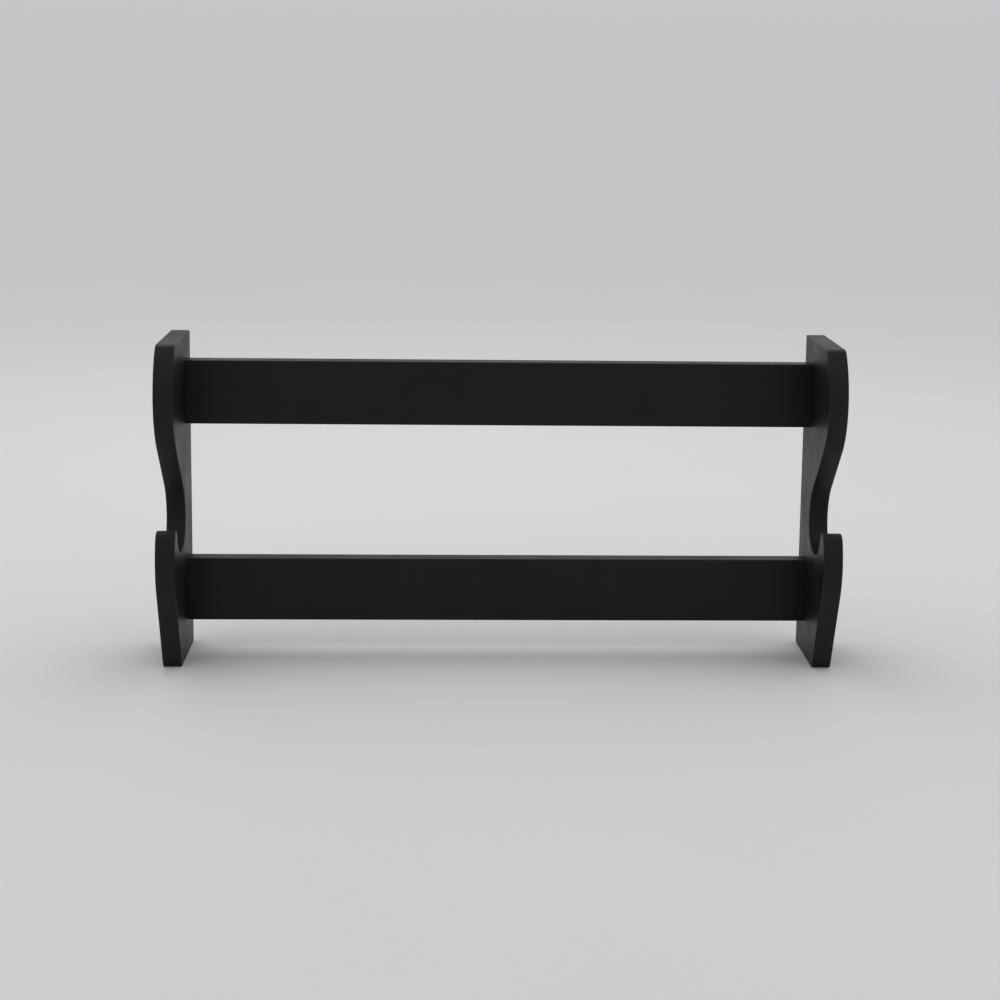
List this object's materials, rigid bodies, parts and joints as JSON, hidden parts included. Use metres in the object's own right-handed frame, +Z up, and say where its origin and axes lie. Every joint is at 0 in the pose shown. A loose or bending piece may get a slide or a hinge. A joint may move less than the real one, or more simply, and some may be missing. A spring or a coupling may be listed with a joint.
{
  "type": "wall cue rack",
  "caption": "Wall rack of black-painted board: shaped end brackets with a round cradle notch and a prong each, joined by flat rails and hung on keyhole plates.",
  "frame": {"origin": "midway between the round entries of the two keyholes, on the outer face of the hanger plates; the wall's surface is the plane y = +0.012", "axes": "+X along the rails, from the left bracket to the right one as seen from the room; +Y into the wall; +Z up"},
  "size_m": [0.42, 0.085, 0.205],
  "materials": {
    "black_board": "satin black paint",
    "black_rail": "satin black paint",
    "black_screw": "black oxide",
    "beech": "raw",
    "zinc_plate": "zinc plated",
    "zinc_screw": "zinc plated"
  },
  "bodies": {
    "root": {"left_bracket": "black_board", "right_bracket": "black_board", "upper_rail": "black_rail", "lower_rail": "black_rail", "upper_left_screw": "black_screw", "upper_right_screw": "black_screw", "lower_left_screw": "black_screw", "lower_right_screw": "black_screw", "upper_left_top_dowel": "beech", "upper_left_bottom_dowel": "beech", "upper_right_top_dowel": "beech", "upper_right_bottom_dowel": "beech", "lower_left_top_dowel": "beech", "lower_left_bottom_dowel": "beech", "lower_right_top_dowel": "beech", "lower_right_bottom_dowel": "beech", "left_hanger": "zinc_plate", "right_hanger": "zinc_plate", "left_hanger_top_screw": "zinc_screw", "left_hanger_bottom_screw": "zinc_screw", "right_hanger_top_screw": "zinc_screw", "right_hanger_bottom_screw": "zinc_screw"}
  },
  "joints": []
}
